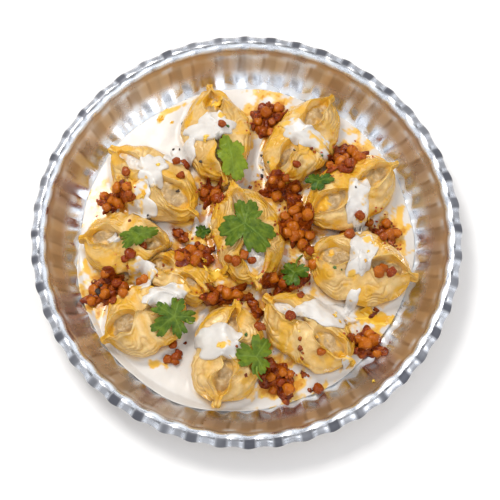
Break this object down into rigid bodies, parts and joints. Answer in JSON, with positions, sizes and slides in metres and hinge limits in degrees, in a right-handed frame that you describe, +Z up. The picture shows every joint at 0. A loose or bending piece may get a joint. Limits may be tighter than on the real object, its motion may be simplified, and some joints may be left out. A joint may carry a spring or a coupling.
{
  "type": "manti dumplings in a dish",
  "caption": "Round fluted steel dish of boat-shaped manti dumplings on yogurt, topped with yogurt, spiced split peas and coriander leaves.",
  "frame": {"origin": "middle of the dish's underside, where it rests", "axes": "+Z up out of the dish, -Y towards the diner, +X to the diner's right; the picture looks along +Y and down"},
  "size_m": [0.2796, 0.2796, 0.0384],
  "materials": {
    "steel": "polished pressed stainless steel with fine scratches",
    "yogurt": "wet, smooth and slightly glossy, tinted yellow where oil floats on it",
    "dough": "steamed dough, satin, glossy where oiled, with faint flour streaks and folds",
    "spiced_peas": "split peas glazed with red tomato and chilli sauce",
    "coriander": "fresh leaf, satin, with veins and a paler underside",
    "filling": "moist minced filling in the open ends of the manti",
    "spiced_oil": "thin yellow to orange oil, clear and glossy"
  },
  "bodies": {
    "root": {"dish": "steel", "yogurt_pool": "yogurt", "manti_01": "dough", "manti_02": "dough", "manti_03": "dough", "manti_04": "dough", "manti_05": "dough", "manti_06": "dough", "manti_07": "dough", "manti_08": "dough", "manti_09": "dough", "manti_10": "dough", "manti_11": "dough", "yogurt_01": "yogurt", "yogurt_02": "yogurt", "yogurt_03": "yogurt", "yogurt_04": "yogurt", "yogurt_05": "yogurt", "yogurt_06": "yogurt", "yogurt_07": "yogurt", "yogurt_08": "yogurt", "yogurt_09": "yogurt", "yogurt_10": "yogurt", "yogurt_11": "yogurt", "yogurt_12": "yogurt", "peas_01": "spiced_peas", "peas_02": "spiced_peas", "peas_03": "spiced_peas", "peas_04": "spiced_peas", "peas_05": "spiced_peas", "peas_06": "spiced_peas", "peas_07": "spiced_peas", "peas_08": "spiced_peas", "peas_09": "spiced_peas", "peas_10": "spiced_peas", "peas_11": "spiced_peas", "peas_12": "spiced_peas", "peas_13": "spiced_peas", "leaf_01": "coriander", "leaf_02": "coriander", "leaf_03": "coriander", "leaf_04": "coriander", "leaf_05": "coriander", "leaf_06": "coriander", "leaf_07": "coriander", "leaf_08": "coriander"}
  },
  "joints": []
}
